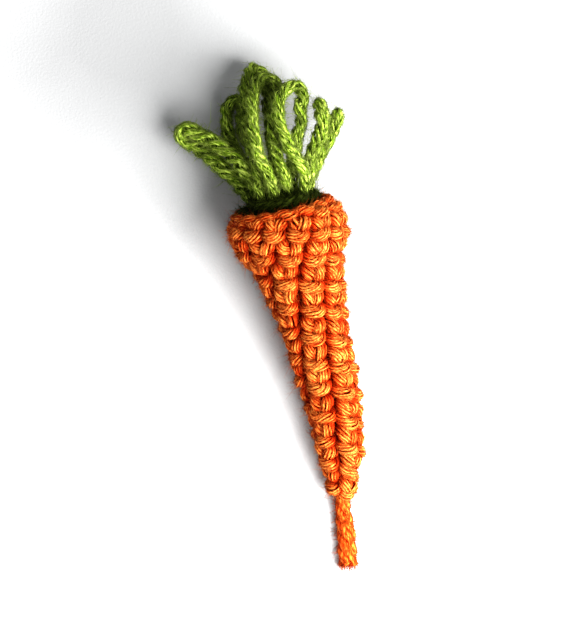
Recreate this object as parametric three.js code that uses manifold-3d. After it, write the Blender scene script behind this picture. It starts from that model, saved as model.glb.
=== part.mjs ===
// A crocheted toy carrot, lying on its side on z = 0 with its leaves towards +Y.
// The root is a hollow cone of orange yarn with a yarn tail, filled with stuffing and closed
// by a green yarn cap, in which the ends of the leaf yarn stand. Millimetres, +Z up.
import * as THREE from 'three';
import { mergeVertices } from 'three/addons/utils/BufferGeometryUtils.js';
import { ParametricGeometry } from 'three/addons/geometries/ParametricGeometry.js';
import Module from 'manifold-3d';

const { clamp, degToRad, lerp, smoothstep } = THREE.MathUtils;

// Yarn and stitches: the columns of stitches lean to the right as they climb
const YARN = 2.6;
const ROUND_HEIGHT = 5.15;
const STITCH_WIDTH = 4.5;
const FEWEST_STITCHES = 4;
const STITCH_DEPTH = 1.3;
const STITCH_POINT = 0.3;
const COLUMN_LEAN = 0.2;
const COLUMN_START = 0.45;
const PRESSED_HEIGHT = 1.4;

// Root: its axis rises from the tip to the leaf end and bows a little to one side
const SPINE_LENGTH = 60;
const ROOT_PITCH = degToRad(8.8);
const TIP_HEIGHT = 2.7;
const ROOT_AROUND = 66;
const ROOT_ALONG = 62;
const OUTSIDE_ROWS = 53;

// Yarn tail at the tip, thicker where its plies have opened
const TAIL_RADIUS = 1.2;
const TAIL_END_RADIUS = 1.7;

// Leaf yarn, squeezed thinner where it stands in the cap
const LEAF_RADIUS = 1.1;
const FOOT_RADIUS = 0.85;
const FOOT_DEPTH = 2.6;
const FOOT_TAPER = 3;
const PLIES = 4;
const PLY_GROOVE = 0.2;
const TWIST_PITCH = 7;
const STRAND_STEP = 1.1;
const CLEARANCE = 0.3;

// Cap
const CAP_TOP = 59;
const CAP_RADIUS = 7.9;
const CAP_RIPPLES = 12;
const CAP_RIPPLE_DEPTH = 0.07;

const ORANGE = 0xe8691f;
const GREEN = 0x8cab35;
const DARK_GREEN = 0x5d7424;
const WHITE = 0xf1eee6;

// Outlines as [distance from the tip, radius]: the root's outside ends just inside its rim
const OUTSIDE = [
  [0, 0], [0.3, 1.6], [2, 2.7], [4, 3.2], [6, 4.1], [8.5, 4.65], [13, 4.9], [20, 5.55], [26, 6.1],
  [32, 6.3], [37, 7], [42, 7.95], [46, 8.9], [49, 10.2], [51.5, 11.2], [53.5, 11.45], [55.5, 11.1],
  [57, 10.2], [58.1, 9.2], [57.8, 8.4],
];
const INSIDE = [[54, 8.2], [49, 7], [42, 4.75], [32, 3.1], [20, 2.35], [9, 1], [8, 0]];
const STUFFING = [[8.5, 0], [9.4, 0.7], [20, 2], [32, 2.75], [42, 4.4], [48.5, 6.4], [53, 7.6], [53.6, 0]];
const CAP = [[54.2, 0], [54.2, 7.7], [57, CAP_RADIUS], [58.3, 7.4], [CAP_TOP, 5.5], [CAP_TOP, 0]];

// Leaf yarn: where each end stands on the cap as [across, above], and the way between as [x, y, z]
const LEAVES = [
  {
    name: 'leaf_loop_left',
    feet: [[-3.9, -0.3], [-5.6, -2.3]],
    way: [
      [-5.7, 61.9, 11.4], [-6.8, 64.4, 11.1], [-7.9, 66.8, 10.4], [-9.8, 69.2, 9.4], [-12.2, 71.7, 8.2],
      [-14.8, 73.6, 7.1], [-16.7, 75, 6.1], [-17.9, 74.4, 5], [-17.4, 73.1, 4.2], [-15.3, 71.3, 4.2],
      [-13.4, 69.1, 4.6], [-11.4, 66.5, 5.6], [-9.3, 63.8, 7.1], [-7.7, 61.1, 8.5],
    ],
  },
  {
    name: 'leaf_loop_low',
    feet: [[-2.9, -4.7], [0.2, -5.4]],
    way: [
      [-5.6, 63, 6.4], [-7.5, 67.6, 5.4], [-8.6, 70.9, 4.6], [-9, 73.4, 4], [-8.9, 75.6, 3.6],
      [-8.2, 77.6, 3.4], [-7, 78.8, 3.3], [-5.8, 78.6, 3.4], [-5.6, 77, 3.6], [-6.1, 74.9, 3.8],
      [-6.2, 72.6, 4.2], [-5.3, 69.6, 4.7], [-4.1, 66.4, 5.3], [-2.6, 63.6, 5.9],
    ],
  },
  {
    name: 'leaf_loop_tall',
    feet: [[-0.7, 3.6], [2, 2.6]],
    way: [
      [-2.8, 63, 15.9], [-3.8, 66.5, 15.9], [-4.3, 70, 15.1], [-4.1, 73.4, 13.8], [-3.6, 76.8, 12],
      [-2.9, 79.4, 10.2], [-1.6, 81.2, 8.7], [0.2, 81.9, 7.8], [1.6, 80.6, 8.4], [1.5, 78.5, 9.6],
      [0.3, 75.6, 11.1], [-0.5, 73, 12.1], [-0.7, 70.3, 13], [-0.7, 67.6, 13.8], [-0.3, 63.8, 14.5],
    ],
  },
  {
    name: 'leaf_loop_behind',
    feet: [[-3.3, 2.4], [-0.9, 0.5]],
    way: [
      [-4.7, 62.7, 13.9], [-4.9, 66.8, 13], [-5.3, 70.8, 11.6], [-5.1, 73.7, 10.3], [-4.6, 77.7, 8.3],
      [-4.1, 80.7, 6.6], [-3.1, 83.3, 4.8], [-1.7, 84.3, 3.6], [-0.5, 83.2, 3.4], [0, 81.2, 4.2],
      [-0.2, 78.6, 5.9], [-0.4, 75.2, 7.9], [-0.7, 72.4, 9.3], [-0.9, 69.6, 10.4], [-1, 66.6, 11.3],
      [-1.4, 63.6, 11.7],
    ],
  },
  {
    name: 'leaf_loop_right',
    feet: [[4.9, 2.2], [3, -0.1]],
    way: [
      [4, 62.4, 14.8], [3.3, 64.5, 15.4], [2.5, 66.9, 15.8], [1.7, 69.4, 15.9], [1.1, 71.9, 15.6],
      [0.9, 74.2, 14.9], [1.6, 76.6, 13.6], [2.6, 78.5, 12.2], [4, 79.3, 11.2], [5.6, 79.3, 10.4],
      [6.4, 78.2, 10.3], [6.2, 76.6, 10.7], [5.4, 74.9, 11.1], [5.3, 73, 11.5], [4.6, 71, 11.9],
      [3.7, 68.7, 12.2], [2.5, 65.9, 12.3], [1.7, 62.8, 12.1],
    ],
  },
  {
    name: 'leaf_strand_left',
    feet: [[5.9, -0.7]],
    way: [
      [4.9, 62.6, 11.6], [5.8, 65, 12], [6.9, 67, 12.3], [8.4, 69.2, 12.4], [9.2, 71.6, 12.2],
      [9.3, 73.9, 11.7], [9, 76, 11],
    ],
  },
  {
    name: 'leaf_strand_right',
    feet: [[4.8, -3.4]],
    way: [
      [5.4, 62.6, 8.6], [7.4, 65.1, 8.7], [9.1, 67.4, 8.6], [10.6, 69.6, 8.3], [11.9, 71.5, 7.9],
      [12.7, 73.5, 7.4],
    ],
  },
];

const TAIL = [
  [0.3, 4, 3.3], [-0.1, -0.6, 2.3], [-0.5, -3, 1.5], [-0.7, -6.5, 1.3], [-1, -10, 1.5], [-1.4, -13.4, 1.6],
];

const vectors = (places) => places.map((place) => new THREE.Vector3(...place));

// Line down the middle of the root, and the two directions square to it
const up = new THREE.Vector3(0, -Math.sin(ROOT_PITCH), Math.cos(ROOT_PITCH));
const side = new THREE.Vector3(1, 0, 0);
const spine = new THREE.CatmullRomCurve3(
  [[0.2, 0], [1, 8], [1.4, 19], [0.7, 31], [-0.1, 43], [-1.7, SPINE_LENGTH]].map(
    ([across, along]) =>
      new THREE.Vector3(across, along * Math.cos(ROOT_PITCH), TIP_HEIGHT + along * Math.sin(ROOT_PITCH)),
  ),
);

/** Point at a distance along the spine, off it by a sideways and an upward amount. */
function besideSpine(along, across, above) {
  const point = spine.getPointAt(clamp(along / SPINE_LENGTH, 0, 1));
  return point.addScaledVector(side, across).addScaledVector(up, above);
}

/** Point on a ring round the spine. The angle is counted from the top, towards +X. */
function roundSpine(along, radius, angle) {
  return besideSpine(along, radius * Math.sin(angle), radius * Math.cos(angle));
}

/** Closed geometry from a surface whose first and last rows are single points. */
function closedSurface(surface, around, along) {
  const grid = new ParametricGeometry(surface, around, along);
  grid.deleteAttribute('normal');
  grid.deleteAttribute('uv');
  const merged = mergeVertices(grid, 1e-3);
  const corners = merged.index.array;
  const kept = [];
  for (let i = 0; i < corners.length; i += 3) {
    const [a, b, c] = corners.slice(i, i + 3);
    if (a !== b && b !== c && c !== a) kept.push(a, b, c);
  }
  merged.setIndex(kept);
  return merged;
}

/** Smooth outline through points, as a curve of (distance from the tip, radius). */
function smoothOutline(points) {
  return new THREE.CatmullRomCurve3(vectors(points.map(([along, radius]) => [along, radius, 0])));
}

/** Number of stitches in each round, from the outline's radius in the middle of the round. */
function stitchCounts(outline) {
  const length = outline.getLength();
  const counts = [];
  for (let middle = ROUND_HEIGHT / 2; middle < length + ROUND_HEIGHT; middle += ROUND_HEIGHT) {
    const radius = outline.getPointAt(Math.min(1, middle / length)).y - YARN / 2;
    counts.push(Math.max(FEWEST_STITCHES, Math.round((2 * Math.PI * radius) / STITCH_WIDTH)));
  }
  return counts;
}

/**
 * Depth of the surface below the tops of the stitches. Each stitch is a pillow with a
 * pointed foot, and the rounds climb in one spiral.
 */
function stitchDepth(turn, worked, counts) {
  const row = worked / ROUND_HEIGHT + turn;
  const count = counts[clamp(Math.floor(row), 0, counts.length - 1)];
  const across = turn * count + COLUMN_START - (COLUMN_LEAN * worked) / ROUND_HEIGHT;
  const fromColumn = Math.abs(across - Math.round(across)) * 2;
  const risen = row + STITCH_POINT * fromColumn;
  const alongStitch = risen - Math.floor(risen);
  const crown = Math.cos((fromColumn * Math.PI) / 2) ** 0.6 * Math.sin(Math.PI * alongStitch) ** 0.5;
  return STITCH_DEPTH * (1 - crown);
}

/** The root's wall: out along the stitched outside, over the rim and back down the inside. */
function rootWall() {
  const outside = smoothOutline(OUTSIDE);
  const inside = smoothOutline([OUTSIDE.at(-1), ...INSIDE]);
  const counts = stitchCounts(outside);
  const length = outside.getLength();
  const outsideShare = OUTSIDE_ROWS / ROOT_ALONG;
  const outward = new THREE.Vector3();
  return closedSurface(
    (around, along, target) => {
      const turn = (around % 1) - 0.5;
      const angle = turn * 2 * Math.PI;
      const onOutside = along <= outsideShare;
      const share = onOutside ? along / outsideShare : (along - outsideShare) / (1 - outsideShare);
      const outline = onOutside ? outside : inside;
      const spot = outline.getPointAt(clamp(share, 0, 1));
      if (onOutside) {
        const height = roundSpine(spot.x, spot.y, angle).z;
        const free = smoothstep(height, 0, PRESSED_HEIGHT) * smoothstep(spot.x, 0.5, 3);
        const belowRim = 1 - smoothstep(share, 0.95, 1);
        outline.getTangentAt(share, outward);
        outward.set(-outward.y, outward.x, 0);
        spot.addScaledVector(outward, -free * belowRim * stitchDepth(turn, share * length, counts));
      }
      target.copy(roundSpine(spot.x, Math.max(spot.y, 0), angle));
    },
    ROOT_AROUND,
    ROOT_ALONG,
  );
}

/** A solid of revolution about the spine, with ripples round it. */
function turnedSolid(points, around, along, ripples = 0, rippleDepth = 0) {
  const outline = smoothOutline(points);
  return closedSurface(
    (turn, share, target) => {
      const spot = outline.getPointAt(clamp(share, 0, 1));
      const angle = (turn % 1) * 2 * Math.PI;
      const wave = 1 - rippleDepth * (0.5 - 0.5 * Math.cos(ripples * angle));
      target.copy(roundSpine(spot.x, Math.max(spot.y, 0) * wave, angle));
    },
    around,
    along,
  );
}

/** Yarn along a path: a section with one lobe for each ply, turning along the length. */
function yarn(path, radiusAt) {
  const length = path.getLength();
  const steps = Math.round(length / STRAND_STEP);
  const frames = path.computeFrenetFrames(steps, false);
  const around = 2 * PLIES;
  return closedSurface(
    (turn, share, target) => {
      const step = Math.round(share * steps);
      const fromEnd = Math.min(share, 1 - share) * length;
      const inGroove = Math.round((turn % 1) * around) % 2;
      const endRound = Math.sqrt(clamp(fromEnd / STRAND_STEP, 0, 1));
      const radius = radiusAt(share * length, length) * (1 - PLY_GROOVE * inGroove) * endRound;
      const angle = 2 * Math.PI * ((turn % 1) + (share * length) / TWIST_PITCH);
      target.copy(path.getPointAt(clamp(share, 0, 1)));
      target.addScaledVector(frames.normals[step], radius * Math.cos(angle));
      target.addScaledVector(frames.binormals[step], radius * Math.sin(angle));
    },
    around,
    steps,
  );
}

/** Yarn of one leaf, from deep in the cap and, for a loop, back down into it. */
function leafGeometry({ feet, way }) {
  const [start, end] = feet.map(([across, above]) => [
    besideSpine(CAP_TOP - FOOT_DEPTH, across, above),
    besideSpine(CAP_TOP, across, above),
  ]);
  const places = [...start, ...vectors(way), ...(end ? end.reverse() : [])];
  return yarn(new THREE.CatmullRomCurve3(places), (travelled, length) => {
    const fromFoot = end ? Math.min(travelled, length - travelled) : travelled;
    return lerp(FOOT_RADIUS, LEAF_RADIUS, smoothstep(fromFoot, FOOT_DEPTH, FOOT_DEPTH + FOOT_TAPER));
  });
}

const wasm = await Module();
wasm.setup();

/** Solid for joining and cutting, from a closed geometry. */
function toSolid(geometry) {
  const bare = geometry.clone();
  bare.deleteAttribute('normal');
  bare.deleteAttribute('uv');
  const merged = mergeVertices(bare, 1e-3);
  return new wasm.Manifold(
    new wasm.Mesh({
      numProp: 3,
      vertProperties: new Float32Array(merged.attributes.position.array),
      triVerts: new Uint32Array(merged.index.array),
    }),
  );
}

/** Geometry of a solid that was joined or cut. */
function toGeometry(solid) {
  const { vertProperties, triVerts } = solid.getMesh();
  const geometry = new THREE.BufferGeometry();
  geometry.setAttribute('position', new THREE.BufferAttribute(vertProperties, 3));
  geometry.setIndex(new THREE.BufferAttribute(triVerts, 1));
  return geometry;
}

/** The root with its yarn tail, pressed flat where it rests on the ground. */
function rootGeometry() {
  const tail = yarn(new THREE.CatmullRomCurve3(vectors(TAIL)), (travelled, length) =>
    lerp(TAIL_RADIUS, TAIL_END_RADIUS, travelled / length),
  );
  const [width, length, depth] = [100, 300, 20];
  const ground = new THREE.BoxGeometry(width, length, depth).translate(0, 0, -depth / 2);
  return toGeometry(toSolid(rootWall()).add(toSolid(tail)).subtract(toSolid(ground)));
}

/** The cap, with a plain hole for each end of leaf yarn. */
function capGeometry() {
  let cap = toSolid(turnedSolid(CAP, 2 * CAP_RIPPLES, CAP_RIPPLES, CAP_RIPPLES, CAP_RIPPLE_DEPTH));
  const holeRadius = FOOT_RADIUS + CLEARANCE;
  const holeLength = 2 * (FOOT_DEPTH + CLEARANCE);
  for (const [across, above] of LEAVES.flatMap(({ feet }) => feet)) {
    const hole = new THREE.CylinderGeometry(holeRadius, holeRadius, holeLength, 2 * PLIES);
    hole.rotateX(ROOT_PITCH);
    hole.translate(...besideSpine(CAP_TOP, across, above).toArray());
    cap = cap.subtract(toSolid(hole));
  }
  return toGeometry(cap);
}

/** Mesh of one piece, with its yarn's colour. */
function piece(name, geometry, color) {
  geometry.computeVertexNormals();
  const material = new THREE.MeshStandardMaterial({ color, roughness: 0.9, metalness: 0 });
  const mesh = new THREE.Mesh(geometry, material);
  mesh.name = name;
  return mesh;
}

const carrot = new THREE.Group();
carrot.add(piece('crocheted_root', rootGeometry(), ORANGE));
carrot.add(piece('stuffing', turnedSolid(STUFFING, 20, 14), WHITE));
carrot.add(piece('leaf_cap', capGeometry(), DARK_GREEN));
for (const leaf of LEAVES) {
  carrot.add(piece(leaf.name, leafGeometry(leaf), GREEN));
}

// The origin is on the ground, in the middle of the carrot's footprint
const middle = new THREE.Box3().setFromObject(carrot, true).getCenter(new THREE.Vector3());
carrot.position.set(-middle.x, -middle.y, 0);

export default carrot;
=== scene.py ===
"""A crocheted toy carrot, dressed at the scale of its yarn.

The orange root is one plied yarn worked in rounds of stitches, with a tail at the tip. A coil of
green yarn closes the top, and loops and cut strands of the same green yarn stand in it as leaves.
Shapes are worked out in millimetres from the tip of the root, +Y towards the leaves and +Z up, and
are put into the frame in metres when they become a mesh.
"""

import logging
import math
from dataclasses import dataclass, field, replace
from enum import Enum
from typing import Any, Sequence

import bpy
import numpy as np
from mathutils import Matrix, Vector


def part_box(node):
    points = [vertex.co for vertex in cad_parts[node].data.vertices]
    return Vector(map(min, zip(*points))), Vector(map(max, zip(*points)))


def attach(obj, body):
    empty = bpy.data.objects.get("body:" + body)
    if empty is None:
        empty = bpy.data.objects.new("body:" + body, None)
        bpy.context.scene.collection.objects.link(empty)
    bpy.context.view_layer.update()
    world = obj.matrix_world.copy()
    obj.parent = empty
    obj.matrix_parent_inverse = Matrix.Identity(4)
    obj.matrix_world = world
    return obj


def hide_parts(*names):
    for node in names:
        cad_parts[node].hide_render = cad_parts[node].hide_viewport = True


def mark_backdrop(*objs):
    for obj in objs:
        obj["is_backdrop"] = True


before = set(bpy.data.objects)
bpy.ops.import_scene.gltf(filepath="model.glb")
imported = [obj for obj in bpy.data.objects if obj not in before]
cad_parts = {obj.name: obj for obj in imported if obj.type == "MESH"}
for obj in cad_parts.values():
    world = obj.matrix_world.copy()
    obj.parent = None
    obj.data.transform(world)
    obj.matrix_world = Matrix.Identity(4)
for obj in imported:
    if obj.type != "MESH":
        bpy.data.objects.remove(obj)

Array = np.ndarray
Colour = tuple[float, float, float, float]

LOG = logging.getLogger("carrot")
BODY = "root"
METRES = 0.001
FULL_TURN = 2 * math.pi
# Name of the attribute that carries each vertex's painted shade, with a random tone on fibres.
PAINTED_SHADE_AND_TONE = "hollow"
DARKEST_FIBRE = 0.8
# Painted shade given to the plain core tube between plies, so the furrows show dark.
CORE_PAINTED_SHADE = 0.8
TAIL_END = (-1.4, -13.4, 1.2)


class Twist(Enum):
    """The way in which plies wind about each other, as the sign of their turn along the yarn."""

    S = -1
    Z = 1


class Slot(Enum):
    """The record's material slots."""

    ORANGE_YARN = "orange_yarn"
    GREEN_YARN = "green_yarn"
    FIBRE_FILL = "fibre_fill"


def unit(vectors: Array) -> Array:
    """Vectors scaled to length 1 along their last axis."""
    return vectors / np.maximum(np.linalg.norm(vectors, axis=-1, keepdims=True), 1e-9)


def smoothstep(value: Array, low: float, high: float) -> Array:
    """A smooth climb from 0 at low to 1 at high."""
    share = np.clip((value - low) / (high - low), 0.0, 1.0)
    return share * share * (3.0 - 2.0 * share)


def travelled(path: Array) -> Array:
    """Distance along a path at each of its points, from 0 at the first."""
    steps = np.linalg.norm(np.diff(path, axis=0), axis=1)
    return np.concatenate([[0.0], np.cumsum(steps)])


def even_steps(path: Array, step: float) -> Array:
    """The same path with its points a given step apart.

    Args:
        path: points, one to a row.
        step: distance wanted between points.

    Returns:
        Points along the path, the ends included.
    """
    distance = travelled(path)
    wanted = np.linspace(0.0, distance[-1], max(2, round(distance[-1] / step) + 1))
    return np.stack([np.interp(wanted, distance, axis) for axis in path.T], axis=1)


def smooth_path(points: Sequence[Sequence[float]], step: float, per_span: int = 12) -> Array:
    """A smooth curve through points, sampled at even steps.

    Each span is a cubic that leaves and reaches its ends along slopes taken from the neighbouring
    points, with the square roots of the gaps between points as its times, so that it never loops.

    Args:
        points: the points to pass through.
        step: distance between samples.
        per_span: samples of each cubic before they are spaced evenly.

    Returns:
        The samples, one to a row.
    """
    places = np.asarray(points, dtype=float)
    places = np.vstack([2 * places[0] - places[1], places, 2 * places[-1] - places[-2]])
    times = np.sqrt(np.linalg.norm(np.diff(places, axis=0), axis=1))[:, None]
    before, here, after = times[:-2], times[1:-1], times[2:]
    a, b, c, d = places[:-3], places[1:-2], places[2:-1], places[3:]
    leave = ((b - a) / before - (c - a) / (before + here) + (c - b) / here) * here
    reach = ((c - b) / here - (d - b) / (here + after) + (d - c) / after) * here
    t = (np.arange(per_span) / per_span)[None, :, None]
    b, c, leave, reach = (values[:, None] for values in (b, c, leave, reach))
    curve = b + t * leave + t**2 * (3 * (c - b) - 2 * leave - reach) + t**3 * (2 * (b - c) + leave + reach)
    return even_steps(np.vstack([curve.reshape(-1, places.shape[1]), places[-2]]), step)


def softened(path: Array, passes: int) -> Array:
    """A path with each inner point drawn towards its neighbours, a number of times over."""
    for _ in range(passes):
        path = np.vstack([path[:1], (path[:-2] + 2 * path[1:-1] + path[2:]) / 4, path[-1:]])
    return path


def wander(distance: Array, wavelength: float, rng: np.random.Generator) -> Array:
    """A smooth random wave of about -1 to 1: three sines of nearby wavelengths and random phases."""
    waves = wavelength * np.array([1.0, 0.61, 1.73])[:, None]
    phases = rng.uniform(0.0, FULL_TURN, (3, 1))
    return np.sin(FULL_TURN * distance[None] / waves + phases).sum(axis=0) / 2.0


def carried_frame(path: Array) -> tuple[Array, Array, Array]:
    """Directions along and square to a path, carried along it without turning about it.

    Each step turns one tangent onto the next, about the axis square to both. The turns are
    multiplied up by doubling, so that every point gets the product of all the turns before it.

    Args:
        path: points, one to a row.

    Returns:
        The unit tangents, normals and binormals.
    """
    tangent = unit(np.gradient(path, axis=0))
    axis = np.cross(tangent[:-1], tangent[1:])
    cosine = np.sum(tangent[:-1] * tangent[1:], axis=1)
    x, y, z = axis.T
    nil = np.zeros_like(x)
    cross = np.stack([nil, -z, y, z, nil, -x, -y, x, nil], axis=1).reshape(-1, 3, 3)
    turn = np.eye(3) + cross + cross @ cross / np.maximum(1.0 + cosine, 1e-6)[:, None, None]
    turn = np.concatenate([np.eye(3)[None], turn])
    reach = 1
    while reach < len(turn):
        turn = np.concatenate([turn[:reach], turn[reach:] @ turn[:-reach]])
        reach *= 2
    first = np.cross(tangent[0], np.eye(3)[np.argmin(np.abs(tangent[0]))])
    normal = turn @ first
    normal = unit(normal - np.sum(normal * tangent, axis=1, keepdims=True) * tangent)
    return tangent, normal, np.cross(tangent, normal)


@dataclass
class Surface:
    """A mesh as whole arrays, in millimetres from the tip.

    Attributes:
        points: vertices.
        quads: corners of the four-sided faces.
        caps: corners of the faces that close the ends.
        quad_uv: for each corner of each quad, the distance along and the share round.
        hollow: for each vertex, painted shade from 0 where light reaches it to 1 deep between strands, with a random
            tone on fibres.
        outward: for each vertex, the direction out of the surface.
        heading: for each vertex, the direction along the strand.
    """

    points: Array
    quads: Array
    caps: Array
    quad_uv: Array
    hollow: Array
    outward: Array
    heading: Array

    @classmethod
    def joined(cls, parts: Sequence["Surface"]) -> "Surface":
        """One surface of several, whose caps all have the same number of corners."""
        starts = np.cumsum([0] + [len(part.points) for part in parts[:-1]])
        return cls(
            points=np.concatenate([part.points for part in parts]),
            quads=np.concatenate([part.quads + start for part, start in zip(parts, starts)]),
            caps=np.concatenate([part.caps + start for part, start in zip(parts, starts)]),
            quad_uv=np.concatenate([part.quad_uv for part in parts]),
            hollow=np.concatenate([part.hollow for part in parts]),
            outward=np.concatenate([part.outward for part in parts]),
            heading=np.concatenate([part.heading for part in parts]),
        )


def tubes(centres: Array, heading: Array, outward: Array, radii: Array, sides: int, hollow: Array) -> Surface:
    """Round tubes, each a ring of points carried along its own line.

    A point is the line's centre plus the radius times the cosine of its angle outward and the sine
    of it sideways, where sideways is square to the heading and to outward.

    Args:
        centres: points of the lines, of shape (points, lines, 3).
        heading: unit directions along the lines, of the same shape.
        outward: unit directions square to the heading, of the same shape.
        radii: radius at each point, of shape (points, lines).
        sides: points in a ring.
        hollow: how far each ring's points are painted towards the deep colour, as painted shade with a random tone on
            fibres, of shape (points, lines, sides).

    Returns:
        The closed tubes.
    """
    rows, lines = radii.shape
    angle = np.arange(sides) * FULL_TURN / sides
    sideways = np.cross(heading, outward)
    ring = np.cos(angle)[:, None] * outward[..., None, :] + np.sin(angle)[:, None] * sideways[..., None, :]
    points = centres[..., None, :] + radii[..., None, None] * ring
    index = np.arange(rows * lines * sides).reshape(rows, lines, sides)
    after = np.roll(index, -1, axis=2)
    quads = np.stack([index[:-1], after[:-1], after[1:], index[1:]], axis=-1).reshape(-1, 4)
    caps = np.concatenate([index[0, :, ::-1], index[-1]])
    steps = np.linalg.norm(np.diff(centres, axis=0), axis=2)
    along = np.concatenate([np.zeros((1, lines)), np.cumsum(steps, axis=0)]) + 31.0 * np.arange(lines)
    along = along[..., None]
    share = (np.arange(sides) + sides // 2) % sides / sides
    spans = (along[:-1], along[1:], share, share + 1.0 / sides)
    low, high, left, right = (np.broadcast_to(span, (rows - 1, lines, sides)) for span in spans)
    corners = [np.stack(pair, axis=-1) for pair in ((low, left), (low, right), (high, right), (high, left))]
    shape = points.shape
    return Surface(
        points=points.reshape(-1, 3),
        quads=quads,
        caps=caps,
        quad_uv=np.stack(corners, axis=-2).reshape(-1, 4, 2),
        hollow=np.broadcast_to(hollow, shape[:-1]).reshape(-1),
        outward=np.broadcast_to(ring, shape).reshape(-1, 3),
        heading=np.broadcast_to(heading[..., None, :], shape).reshape(-1, 3),
    )


@dataclass(frozen=True)
class Yarn:
    """How a plied yarn is made.

    Attributes:
        radius: over all the plies.
        plies: how many plies wind about each other.
        pitch: length of one turn of the plies.
        twist: the way in which they wind.
        sides: sides of each ply's tube.
        plumpness: how far plies swell into each other, as a factor on a ply that only touches its
            neighbours.
        unevenness: share by which plies swell and shrink along their length.
        cored: whether a plain tube fills the space between the plies.
    """

    radius: float
    plies: int
    pitch: float
    twist: Twist = Twist.S
    sides: int = 6
    plumpness: float = 1.12
    unevenness: float = 0.1
    cored: bool = False


@dataclass
class Strand:
    """A length of yarn that follows a path.

    Attributes:
        yarn: its make.
        path: points at even steps.
        size: factor on the radius at each point.
        opening: factor on the plies' distance from the path at each point.
        painted_shade_along: painted shade at each point, from 0 in the light to 1 where the yarn lies deep.
        seed: of the random draws.
    """

    yarn: Yarn
    path: Array
    size: Array
    opening: Array
    painted_shade_along: Array
    seed: int = 1

    def __post_init__(self) -> None:
        """Works out the distance along the path, the directions square to it and the plies' angles."""
        yarn = self.yarn
        self.distance = travelled(self.path)
        self.tangent, self.normal, self.binormal = carried_frame(self.path)
        self.rng = np.random.default_rng(self.seed)
        self.rate = yarn.twist.value * FULL_TURN / yarn.pitch
        spread = FULL_TURN * np.arange(yarn.plies) / yarn.plies
        self.turn = (self.rate * self.distance)[:, None] + spread + yarn.unevenness * self._waves(1.3)

    def _waves(self, pitches: float) -> Array:
        """A random wave for each ply, with a wavelength given in pitches."""
        waves = [wander(self.distance, pitches * self.yarn.pitch, self.rng) for _ in range(self.yarn.plies)]
        return np.stack(waves, axis=1)

    def part(self, first: int, last: int) -> "Strand":
        """The stretch between two of the points."""
        kept = slice(first, last + 1)
        return Strand(
            self.yarn, self.path[kept], self.size[kept], self.opening[kept], self.painted_shade_along[kept], self.seed + first
        )

    def plies(self) -> Surface:
        """The plies' surface.

        Each ply is a tube whose centre circles the path once in a pitch, at a distance that
        leaves the ply's outside at the yarn's radius.
        """
        yarn = self.yarn
        sine = math.sin(math.pi / yarn.plies)
        ply_share = sine / (1.0 + sine)
        swell = 1.0 + yarn.unevenness * self._waves(0.7)
        ply_radius = yarn.radius * ply_share * yarn.plumpness * self.size[:, None] * swell
        offset = yarn.radius * (1.0 - ply_share) * (self.size * self.opening)[:, None] * (2.0 - swell)
        cosine, sine_of = np.cos(self.turn)[..., None], np.sin(self.turn)[..., None]
        outward = cosine * self.normal[:, None] + sine_of * self.binormal[:, None]
        round_about = cosine * self.binormal[:, None] - sine_of * self.normal[:, None]
        heading = unit(self.tangent[:, None] + self.rate * offset[..., None] * round_about)
        angle = np.arange(yarn.sides) * FULL_TURN / yarn.sides
        # Painted shade on the side of each ply that faces the middle of the yarn, none on its crest.
        inner_side_shade = 0.65 - 0.65 * np.cos(angle)
        hollow = np.clip(inner_side_shade + self.painted_shade_along[:, None, None], 0.0, 1.0)
        hollow = np.broadcast_to(hollow, (*self.turn.shape, yarn.sides))
        centres = self.path[:, None] + offset[..., None] * outward
        plies = tubes(centres, heading, outward, ply_radius, yarn.sides, hollow)
        if not yarn.cored:
            return plies
        core_radius = 1.1 * yarn.radius * ply_share * self.size[:, None]
        core_lines = (self.path[:, None], self.tangent[:, None], self.normal[:, None])
        return Surface.joined([plies, tubes(*core_lines, core_radius, yarn.sides, np.full((1, 1, 1), CORE_PAINTED_SHADE))])


def hairs(foot: Array, direction: Array, bend: Array, thickness: float, seed: int) -> Surface:
    """Thin fibres with a free end.

    Each is a three-sided tube along a parabola: its foot, plus a share of its direction, plus the
    square of that share of its bend. It thins towards its end and stays above the floor.

    Args:
        foot: where they stand.
        direction: the way and distance that each goes.
        bend: how far each is bent from that way at its end.
        thickness: radius at the foot.
        seed: of the random draws.

    Returns:
        The fibres' surface.
    """
    rng = np.random.default_rng(seed)
    share = np.linspace(0.0, 1.0, 3)[:, None, None]
    centres = foot + share * direction + share**2 * bend
    centres[..., 2] = np.maximum(centres[..., 2], 0.08)
    heading = unit(np.gradient(centres, axis=0))
    aside = unit(np.cross(heading, rng.normal(0.0, 1.0, foot.shape)))
    radii = thickness * (1.0 - 0.7 * share[..., 0]) * np.ones((1, len(foot)))
    return tubes(centres, heading, aside, radii, 3, rng.uniform(0.0, DARKEST_FIBRE, (1, len(foot), 1)))


@dataclass(frozen=True)
class Fuzz:
    """Loose fibres that stand off yarn.

    Attributes:
        count: number of fibres.
        length: of a middling fibre.
        thickness: radius at the foot.
        lift: how far fibres stand off, as against lying along the yarn.
        stray: how far they lean across it.
        reach: highest painted shade and tone value of the places that they grow from.
        seed: of the random draws.
    """

    count: int
    length: float
    thickness: float = 0.04
    lift: float = 0.7
    stray: float = 0.35
    reach: float = 0.45
    seed: int = 7

    def grown(self, plies: Surface) -> Surface:
        """Fibres rooted on a yarn's surface, each leaning its own way along the yarn."""
        rng = np.random.default_rng(self.seed)
        places = rng.choice(np.flatnonzero(plies.hollow < self.reach), self.count)
        outward = plies.outward[places]
        lean = rng.normal(0.0, 1.0, (self.count, 1)) * plies.heading[places]
        length = self.length * np.minimum(rng.lognormal(0.0, 0.45, (self.count, 1)), 2.5)
        direction = unit(self.lift * outward + lean + rng.normal(0.0, self.stray, (self.count, 3)))
        bend = rng.normal(0.0, 0.45, (self.count, 3)) - 0.25 * outward
        foot = plies.points[places] - 0.05 * outward
        return hairs(foot, length * direction, length * bend, self.thickness, self.seed)


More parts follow.
